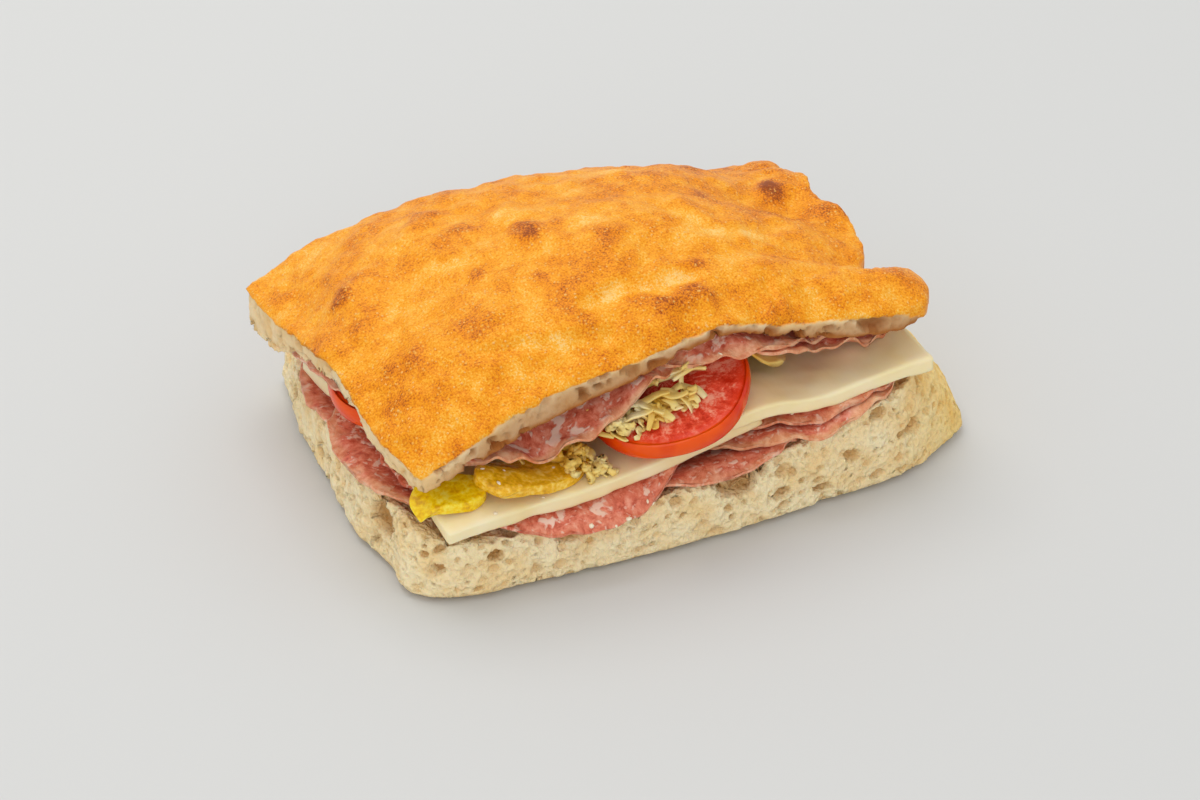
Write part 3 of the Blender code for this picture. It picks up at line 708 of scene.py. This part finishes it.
def laid(course_mm, width_mm, heap, deepest_mm=4.0):
    """A plan course laid on the heap's top, which rises by the shred's thickness. None when there is no room."""
    spots = np.array(course_mm, float)
    fine = np.stack([np.interp(np.linspace(0, 1, 12), np.linspace(0, 1, len(spots)), spots[:, k]) for k in (0, 1)], 1)
    cells = ((fine - PILE_LOW) / PILE_STEP).round().astype(int)
    if (cells < 1).any() or (cells >= np.array(heap.shape) - 1).any():
        return None
    top = np.array([heap[i - 1:i + 2, j - 1:j + 2].max() for i, j in cells])
    top = np.maximum(top, np.convolve(np.pad(top, 2, "edge"), np.full(5, 0.2), "valid"))
    height = top + 0.45
    i, j = cells.T
    if (height + 0.3 > PILE_ROOM[i, j]).any() or (height - PILE_GROUND[i, j] > deepest_mm).any():
        return None
    reach = max(1, round(width_mm / 2 / PILE_STEP))
    for (i, j), level in zip(cells, height):
        patch = heap[i - reach + 1:i + reach, j - reach + 1:j + reach]
        np.maximum(patch, level + 0.15, out=patch)
    return [Vector((x, y, z)) * MM for (x, y), z in zip(fine[::2], height[::2])]


cabbage = wet_cabbage()
core_mesh = finished(joined_copy("cabbage"), smoother(2))
core_places, core_facing = points_of(core_mesh), normals_of(core_mesh)
core_places += core_facing * (MM * (0.8 * drift(core_places, 4, 7) - 1.2))[:, None]
set_points(core_mesh, core_places)
core = piece("cabbage_core", core_mesh, cabbage, ["cabbage"])
heap_skin = felt_surface(core)
luck = np.random.default_rng(42)
cabbage_low, cabbage_high = (np.array(corner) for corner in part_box("cabbage"))
shreds = []
while len(shreds) < 420:
    hit, normal, _, far = heap_skin.find_nearest(Vector(luck.uniform(cabbage_low, cabbage_high)))
    if far < 4 * MM and not (hit.x > 4 * MM and hit.y < -28 * MM):
        course = grown(luck, hit, normal, luck.uniform(7, 16))
        shreds.append(ribbon(course, luck.uniform(1.2, 2.8), luck.uniform(0.4, 0.8), luck.uniform(-2, 2),
                             luck.uniform(0, 6)))
# Shreds that have come forward, laid one by one in the open between the pepper, the cheese and the tomato.
PILE_STEP = 0.5
PILE_LOW = np.array((-66.0, -62.0))
PILE_CELLS = (164, 74)
# Long shreds that hang over the tomato, then short ones and crumbs by the pepper: plan points in mm.
HANGING = [([(-18, -46), (-15, -50), (-11, -55)], 2.0), ([(-12, -46), (-8, -50), (-2, -52)], 1.7),
           ([(-8, -45), (-3, -48), (3, -49)], 1.6), ([(-20, -48), (-14, -48), (-6, -49)], 2.1),
           ([(-25, -48), (-19, -51), (-13, -52)], 2.3), ([(-29, -48), (-24, -51), (-18, -52)], 1.9),
           ([(-56, -47), (-58, -51), (-60, -55)], 2.4)]
under_pile = felt_surface(core, *(bpy.data.objects[name] for name in ("tomato_front_slice", "pepper_front_strip",
                                                                      "cheese_left_slice")))
over_pile = felt_surface(*(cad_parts[name] for name in ("salami_lid_front_left", "salami_lid_front_right",
                                                             "salami_lid_front_right_under", "bread_lid")))
pile = np.zeros(PILE_CELLS)
PILE_ROOM = np.full(PILE_CELLS, 60.0)
for i, j in np.ndindex(PILE_CELLS):
    x, y = (PILE_LOW + PILE_STEP * np.array((i, j))) * MM
    roof = over_pile.ray_cast(Vector((x, y, 0.0)), Vector((0, 0, 1)))[0]
    above = roof.z - 0.0005 if roof else 0.06
    ground = under_pile.ray_cast(Vector((x, y, above)), Vector((0, 0, -1)))[0]
    PILE_ROOM[i, j] = above / MM
    pile[i, j] = ground.z / MM if ground else 60
PILE_GROUND = pile.copy()
for _ in range(260):
    x, y = luck.uniform((-30, -52), (-1, -43))
    heading, length, bend = luck.uniform(0, math.pi), luck.uniform(4, 12), luck.uniform(-0.9, 0.9)
    way, side = np.array((math.cos(heading), math.sin(heading))), np.array((-math.sin(heading), math.cos(heading)))
    plan = [np.array((x, y)) + length * (t * way + bend * (t * t - 0.25) * side) for t in (-0.5, -0.25, 0, 0.25, 0.5)]
    width = luck.uniform(1.2, 2.8)
    course = laid(plan, width, pile)
    if course:
        shreds.append(ribbon(course, width, luck.uniform(0.35, 0.7), luck.uniform(-1, 1), luck.uniform(-0.5, 0.5)))
for _ in range(70):
    x, y = luck.uniform((-38, -54), (-22, -46))
    long, wide = luck.uniform(1.2, 3.2), luck.uniform(1.4, 2.8)
    course = laid([(x, y), (x + long / 2, y + luck.uniform(-1, 1)), (x + long, y + luck.uniform(-1, 1))], wide, pile)
    if course:
        shreds.append(ribbon(course, wide, luck.uniform(0.9, 1.6), 0, luck.uniform(-0.6, 0.6)))
for plan, width in HANGING:
    course = laid(plan, width, pile, 7.0)
    if course:
        shreds.append(ribbon(course, width, 0.6, luck.uniform(-0.8, 0.8), luck.uniform(-0.3, 0.3)))
piece("cabbage_shreds", gathered(shreds), cabbage, [])


# ---------------------------------------------------------------- Salami under the lid
# The same salami again, laid loosely so that its front edge folds and ripples over the vegetables.

salami_above = [("salami_lid_back_left", 2, 0.6), ("salami_lid_back_right", 2, 0.6),
                ("salami_lid_front_right_under", 3, 0.9), ("salami_lid_front_left", 3, 0.95),
                ("salami_lid_front_right", 3, 0.9)]
for number, (node, levels, dried) in enumerate(salami_above):
    mesh = slice_mesh(node, levels, 10 + number, 2.5, dried)
    places = points_of(mesh)
    drawn_in = np.clip(-36 * MM - places[:, 1], 0, None) * ramp_up(0.020, 0.045, places[:, 0])
    places[:, 1] += 0.45 * drawn_in
    places[:, 2] += 0.15 * drawn_in
    set_points(mesh, places)
    piece(node + "_slice", mesh, salami, [node])


# ---------------------------------------------------------------- Lid
# The upper half of the slab. Its top is baked gold, brushed with oil and dusted with semolina, with dimples, creases and
# browned blisters. Its front and left are cut, and its right and back are the dough's own baked edge.

LID_GRAIN = 1.2  # edge length of the mesh in mm, and half of that on the crust and the cut
# Blisters and lumps of the crust: x, y, radius and height in mm, then how brown each is baked.
LID_BLISTERS = [(-39, 15, 6, 0.9, 0.8), (-27, 2, 8, 1.4, 1.0), (-26, 14, 9, 1.3, -0.9), (-44, -5, 4.5, 0.7, 0.8),
                (-31, -18, 5, 0.5, 0.7), (-75, 13, 5, 0.8, 0.8), (-58, 9, 5, 0.5, 0.4), (-45, 30, 7, 0.8, 0.7),
                (-86, 36, 5, 0.5, 0.6), (-72, -23, 11, 0.7, 0.45), (-75, -40, 4, 0.9, -0.1), (60, 36, 8, 1.6, 0.25),
                (53, 13, 7, 1.5, 1.1), (64, -3, 8, 1.2, 0.5), (67, -40, 9, 1.3, 0.4), (9, -28, 5, 0.6, 0.8),
                (36, -25, 7, 0.6, 0.6), (35, -22, 2.6, 0.7, 0.2), (-27, -36, 9, 0.8, 0.5), (11, 27, 6, 0.6, -0.7),
                (-9, -41, 11, 1.7, 0.2), (4, -40, 8, 1.2, 0.3), (25, -46, 6, 1.0, 0.3), (-60, 40, 8, 0.9, 0.4),
                (25, 20, 10, 0.7, 0.3), (-8, -12, 9, 0.6, 0.35), (44, -42, 8, 0.8, 0.3), (-52, -26, 9, 0.6, 0.3)]
# Creases and valleys where the dough was pressed: points along each, then its width, its depth and how pale it is.
LID_CREASES = [([(-64, -31), (-53, -34), (-34, -39), (-22, -42)], 2.2, 0.7, 0.5),
               ([(-24, -33), (-13, -30), (-3, -33), (6, -31)], 3.0, 1.3, 1.0),
               ([(14, -4), (19, -15), (30, -16), (43, -12)], 3.0, 0.8, 0.7),
               ([(72, -20), (64, -26), (57, -33)], 2.4, 1.6, 0.6),
               ([(56, 22), (49, 17), (42, 8)], 2.5, 0.9, 0.5),
               ([(26, -38), (25, -46), (27, -52)], 1.5, 1.0, 0.2),
               ([(-70, 22), (-56, 19), (-44, 22), (-30, 24)], 3.5, 0.7, 0.6),
               ([(-50, 4), (-38, -6), (-20, -8), (-4, 2)], 3.5, 0.6, 0.5)]


def nearest_on(points, course):
    """Distance in plan from each point to a line through a few plan points in mm."""
    best = np.full(len(points), np.inf)
    for start, end in zip(course, course[1:]):
        start, end = np.array(start) * MM, np.array(end) * MM
        along = np.clip(((points[:, :2] - start) @ (end - start)) / ((end - start) @ (end - start)), 0, 1)
        best = np.minimum(best, np.linalg.norm(points[:, :2] - start - along[:, None] * (end - start), axis=1))
    return best


def focaccia_bread():
    """Focaccia baked to gold over its open crumb: an oily, sandy crust, paler in its hollows and brown on blisters."""
    made, tree, shader = blank_material("focaccia_crust")
    where = add(tree, "ShaderNodeTexCoord").outputs["Object"]
    pore = add(tree, "ShaderNodeAttribute", attribute_name="pore").outputs["Fac"]
    crust = add(tree, "ShaderNodeAttribute", attribute_name="crust").outputs["Fac"]
    toast = add(tree, "ShaderNodeAttribute", attribute_name="toast").outputs["Fac"]
    moist = add(tree, "ShaderNodeAttribute", attribute_name="moist").outputs["Fac"]
    cut, grain = crumb_colour(tree, where, pore)
    # Painted shade: the lid's cut crumb is multiplied darker and browner where it faces down and to the front, standing
    # in for shade under the crust's overhang.
    cut = mixed(tree, moist, cut, linear("#b07a4c"), "MULTIPLY")
    cloudy = add(tree, "ShaderNodeTexNoise", {"Vector": where, "Scale": per(7), "Detail": 6, "Roughness": 0.6})
    sandy = add(tree, "ShaderNodeTexNoise", {"Vector": where, "Scale": per(0.55), "Detail": 3, "Roughness": 0.6})
    clouds = add(tree, "ShaderNodeMapRange", {0: cloudy.outputs[0], 1: 0.25, 2: 0.75, 3: -0.28, 4: 0.28})
    sand = add(tree, "ShaderNodeMapRange", {0: sandy.outputs[0], 1: 0.25, 2: 0.75, 3: 0.38, 4: -0.38})
    baked = add(tree, "ShaderNodeMath", {0: toast, 1: clouds.outputs[0]}, operation="ADD")
    baked = add(tree, "ShaderNodeMath", {0: baked.outputs[0], 1: sand.outputs[0]}, operation="ADD")
    gold = add(tree, "ShaderNodeValToRGB", {0: baked.outputs[0]},
               stops=[(0.0, "#fcce7c"), (0.18, "#fcb83c"), (0.42, "#f7a010"), (0.64, "#e88804"), (0.84, "#c66806"),
                      (1.0, "#944404")])
    flour = add(tree, "ShaderNodeTexVoronoi", {"Vector": where, "Scale": per(1.3)})
    chosen = add(tree, "ShaderNodeSeparateColor", {0: flour.outputs["Color"]})
    few = add(tree, "ShaderNodeMath", {0: chosen.outputs[0], 1: 0.55}, operation="GREATER_THAN")
    dot = add(tree, "ShaderNodeMapRange", {0: flour.outputs["Distance"], 1: 0.34, 2: 0.14, 3: 0.0, 4: 0.65})
    dots = add(tree, "ShaderNodeMath", {0: dot.outputs[0], 1: few.outputs[0]}, operation="MULTIPLY")
    dusted = mixed(tree, dots.outputs[0], gold.outputs[0], linear("#fcc664"))
    colour = mixed(tree, crust, cut, dusted)
    tree.links.new(colour, shader.inputs["Base Color"])
    grit = add(tree, "ShaderNodeMath", {0: sandy.outputs[0], 1: cloudy.outputs[0]}, operation="ADD")
    grit = add(tree, "ShaderNodeMath", {0: grit.outputs[0], 1: dots.outputs[0]}, operation="ADD")
    relief = add(tree, "ShaderNodeMix", {0: crust, 2: grain.outputs[0], 3: grit.outputs[0]}, data_type="FLOAT")
    bump = add(tree, "ShaderNodeBump", {"Strength": 0.55, "Distance": 0.5 * MM, "Height": relief.outputs[0]})
    tree.links.new(bump.outputs[0], shader.inputs["Normal"])
    rough = add(tree, "ShaderNodeMapRange", {0: crust, 3: 0.8, 4: 0.42})
    tree.links.new(rough.outputs[0], shader.inputs["Roughness"])
    shader.inputs["Specular IOR Level"].default_value = 0.2
    shader.inputs["Subsurface Weight"].default_value = 0.12
    shader.inputs["Subsurface Radius"].default_value = (1.0, 0.55, 0.25)
    shader.inputs["Subsurface Scale"].default_value = 1.2 * MM
    return made


def lid_shows(places, facing):
    """The crust and the cut sides, and a border of the underside."""
    border = 4 * MM * (1 + drift(places, 6, 2))
    inside = np.minimum(places[:, :2] - lid_low[:2], lid_high[:2] - places[:, :2]).min(axis=1)
    return (facing[:, 2] > -0.7) | (inside < border)


lid_low, lid_high = (np.array(corner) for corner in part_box("bread_lid"))
lid_mesh, lid_places, lid_facing = slab("bread_lid", LID_GRAIN, 0.6, lid_shows)
wander = 0.12 * drift(lid_places, 4, 31) + 0.08 * drift(lid_places, 1.5, 32)
back = np.clip(lid_facing[:, 1], 0, 1) * ramp_up(0.004, 0.016, lid_places[:, 0] - lid_low[0])
baked_way = lid_facing[:, 2] + 0.85 * np.clip(lid_facing[:, 0], 0, 1) + 0.85 * back
crust_share = ramp_up(0.30, 0.42, baked_way + wander)
billow = 0.5 * drift(lid_places, 21, 36) + 0.6 * drift(lid_places, 12, 37) + 0.45 * drift(lid_places, 6.5, 38)
toast = 0.46 + 0.11 * drift(lid_places, 26, 33) + 0.17 * billow + 0.08 * drift(lid_places, 3.5, 35)
swell = MM * (1.2 * billow + 0.45 * drift(lid_places, 3.6, 34) + 0.14 * drift(lid_places, 1.6, 35))
for x, y, radius, height, brown in LID_BLISTERS:
    far = np.linalg.norm(lid_places[:, :2] - np.array((x, y)) * MM, axis=1) + 1.6 * MM * drift(lid_places, 4, 39)
    dome = 1 - ramp_up(0.2, 1.0, far / (radius * MM))
    swell += height * MM * dome
    toast += 0.40 * brown * dome**1.2
for course, width, deep, pale in LID_CREASES:
    far = nearest_on(lid_places, course) + 1.1 * MM * drift(lid_places, 5, 41)
    groove = 1 - ramp_up(0.0, 1.0, far / (width * 1.6 * MM))
    swell -= deep * MM * groove
    toast -= 0.28 * pale * groove
toast += 0.12 * ramp_up(0.25, 0.75, lid_facing[:, 0] + lid_facing[:, 1])
# The cut at the left is thin and gapes a little over the tomato.
left_cut = ramp_up(0.2, 0.7, -lid_facing[:, 0]) * (1 - crust_share)
gape = ramp_up(-0.034, -0.014, lid_places[:, 1]) * ramp_up(-0.032, -0.012, -lid_places[:, 1])
gape *= ramp_up(0.058, 0.078, -lid_places[:, 0])
swell += 1.0 * MM * gape
lid_pore = torn_crumb(lid_places, lid_facing, 0.75, 51, 3.0) * (1 - crust_share)
# Painted shade for the cut crumb: strongest on faces turned down and to the front, fading out near the left end, over a
# slight darkening of all of the cut.
moist = ramp_up(-0.35, 0.45, -lid_facing[:, 2] - 0.4 * lid_facing[:, 1] - 0.3)
moist = 0.2 + 0.8 * moist * ramp_up(0.008, 0.032, lid_places[:, 0] - lid_low[0])
lid_lumps = 0.35 * MM * drift(lid_places, 6, 52) + 0.3 * MM * drift(lid_places, 2.2, 53)
lid_lumps -= 1.2 * MM * left_cut
lid_places = lid_places + lid_facing * (crust_share * swell + (1 - crust_share) * lid_lumps - lid_pore)[:, None]
lid_places[:, 2] += 1.6 * MM * gape * ramp_up(0.3, 0.9, -lid_facing[:, 2] + left_cut)
set_points(lid_mesh, lid_places)
set_field(lid_mesh, "pore", lid_pore)
set_field(lid_mesh, "crust", crust_share)
set_field(lid_mesh, "moist", moist)
set_field(lid_mesh, "toast", np.clip(toast, 0, 1))
piece("bread_lid_loaf", lid_mesh, focaccia_bread(), ["bread_lid"])


# ---------------------------------------------------------------- Loose crumbs
# Grains of coarse semolina baked onto the crust, and crumbs of bread that fell on the filling when the loaf was cut.


def scattered(carrier, field, seed, material, sizes):
    """Small uneven lumps spread over a piece, made by Geometry Nodes and turned into a plain mesh. sizes holds how many
    lie on a square metre where the field is 1, and the smallest and largest width in metres."""
    tree = bpy.data.node_groups.new("scattered", "GeometryNodeTree")
    tree.interface.new_socket("Geometry", in_out="INPUT", socket_type="NodeSocketGeometry")
    named = {name: tree.interface.new_socket(name, in_out="INPUT", socket_type="NodeSocketFloat") for name in sizes}
    tree.interface.new_socket("Geometry", in_out="OUTPUT", socket_type="NodeSocketGeometry")
    given = add(tree, "NodeGroupInput").outputs
    share = add(tree, "GeometryNodeInputNamedAttribute", {"Name": field}, data_type="FLOAT").outputs["Attribute"]
    crowd = add(tree, "ShaderNodeMath", {0: share, 1: given["Density"]}, operation="MULTIPLY").outputs[0]
    spots = add(tree, "GeometryNodeDistributePointsOnFaces",
                {"Mesh": given["Geometry"], "Density": crowd, "Seed": seed}).outputs
    lump = add(tree, "GeometryNodeMeshIcoSphere", {"Radius": 0.5, "Subdivisions": 1}).outputs["Mesh"]
    low = add(tree, "ShaderNodeCombineXYZ", {0: given["Smallest"], 1: given["Smallest"], 2: given["Smallest"]})
    high = add(tree, "ShaderNodeCombineXYZ", {0: given["Largest"], 1: given["Largest"], 2: given["Smallest"]})
    size = add(tree, "FunctionNodeRandomValue", {0: low.outputs[0], 1: high.outputs[0], "Seed": seed + 1},
               data_type="FLOAT_VECTOR").outputs[0]
    lumps = add(tree, "GeometryNodeInstanceOnPoints", {"Points": spots["Points"], "Instance": lump,
                                                       "Rotation": spots["Rotation"], "Scale": size}).outputs[0]
    plain = add(tree, "GeometryNodeRealizeInstances", {0: lumps}).outputs[0]
    painted = add(tree, "GeometryNodeSetMaterial", {"Geometry": plain, "Material": material}).outputs[0]
    add(tree, "NodeGroupOutput", {0: painted})
    obj = bpy.data.objects.new("work", carrier.data.copy())
    bpy.context.collection.objects.link(obj)
    modifier = obj.modifiers.new("scattered", "NODES")
    modifier.node_group = tree
    for name, value in sizes.items():
        modifier[named[name].identifier] = float(value)
    bpy.context.view_layer.update()
    mesh = bpy.data.meshes.new_from_object(obj.evaluated_get(bpy.context.evaluated_depsgraph_get()))
    bpy.data.objects.remove(obj)
    return mesh


def dry_grain(name, colour):
    """A dry crumb or grain: matt, pale and even."""
    made, tree, shader = blank_material(name)
    shader.inputs["Base Color"].default_value = linear(colour)
    shader.inputs["Roughness"].default_value = 0.7
    return made


semolina = dry_grain("semolina", "#f8bf66")
lid = bpy.data.objects["bread_lid_loaf"]
grains = scattered(lid, "crust", 5, semolina, {"Density": 45000, "Smallest": 0.00035, "Largest": 0.0009})
piece("semolina_grains", grains, semolina, [])
white_crumb = dry_grain("white_crumb", "#fdf0d4")
for number, (name, density) in enumerate([("salami_base_front_left_slice", 16000), ("cheese_left_slice", 5000),
                                          ("salami_lid_front_right_slice", 7000), ("salami_base_front_right_slice", 6000),
                                          ("pepper_front_strip", 20000)]):
    carrier = bpy.data.objects[name]
    places, facing = points_of(carrier.data), normals_of(carrier.data)
    set_field(carrier.data, "open_top", ramp_up(0.35, 0.6, facing[:, 2]) * ramp_up(42, 48, -places[:, 1] / MM))
    crumbs = scattered(carrier, "open_top", 20 + number, white_crumb,
                       {"Density": density, "Smallest": 0.0005, "Largest": 0.0020})
    if len(crumbs.vertices):
        piece(name.replace("slice", "crumbs").replace("strip", "crumbs"), crumbs, white_crumb, [])


# ---------------------------------------------------------------- Floor, light and camera
# A plain pale floor under wide soft light from above and behind, seen from the front left corner at 35 degrees.

VIEW_AZIMUTH = -24
VIEW_ELEVATION = 35.24
VIEW_DISTANCE = 813.2
VIEW_AIM = (-0.4, 11.7, 0)

floor_mesh = bpy.data.meshes.new("floor")
floor_mesh.from_pydata([(-4, -4, 0), (4, -4, 0), (4, 4, 0), (-4, 4, 0)], [], [(0, 1, 2, 3)])
floor = bpy.data.objects.new("floor", floor_mesh)
bpy.context.scene.collection.objects.link(floor)
matt_paint, tree, shader = blank_material("pale_floor")
shader.inputs["Base Color"].default_value = linear("#d2d3d2")
shader.inputs["Roughness"].default_value = 0.7
shader.inputs["Specular IOR Level"].default_value = 0.2
floor_mesh.materials.append(matt_paint)

world = bpy.data.worlds.new("studio")
world.use_nodes = True
world.node_tree.nodes["Background"].inputs["Color"].default_value = (1, 1, 1, 1)
world.node_tree.nodes["Background"].inputs["Strength"].default_value = 0.78
bpy.context.scene.world = world


def soft_light(name, place, size, power, aim=(0, 0, 0.03)):
    lamp = bpy.data.lights.new(name, "AREA")
    lamp.shape = "DISK"
    lamp.size = size
    lamp.energy = power
    lamp.color = (1.0, 0.975, 0.94)
    obj = bpy.data.objects.new(name, lamp)
    obj.location = place
    obj.rotation_euler = (Vector(aim) - Vector(place)).to_track_quat("-Z", "Y").to_euler()
    bpy.context.scene.collection.objects.link(obj)


soft_light("overhead_softbox", (-0.10, 0.55, 1.30), 1.1, 7.0)
soft_light("front_fill", (-0.6, -1.0, 0.5), 0.9, 2.2)

camera = bpy.data.cameras.new("camera")
camera.lens = 85
camera.sensor_width = 36
camera_object = bpy.data.objects.new("camera", camera)
azimuth, elevation = math.radians(VIEW_AZIMUTH), math.radians(VIEW_ELEVATION)
backward = Vector((math.sin(azimuth) * math.cos(elevation), -math.cos(azimuth) * math.cos(elevation), math.sin(elevation)))
camera_object.location = Vector(VIEW_AIM) * MM + backward * VIEW_DISTANCE * MM
camera_object.rotation_euler = (-backward).to_track_quat("-Z", "Y").to_euler()
bpy.context.scene.collection.objects.link(camera_object)
bpy.context.scene.camera = camera_object
bpy.context.scene.view_settings.view_transform = "Standard"
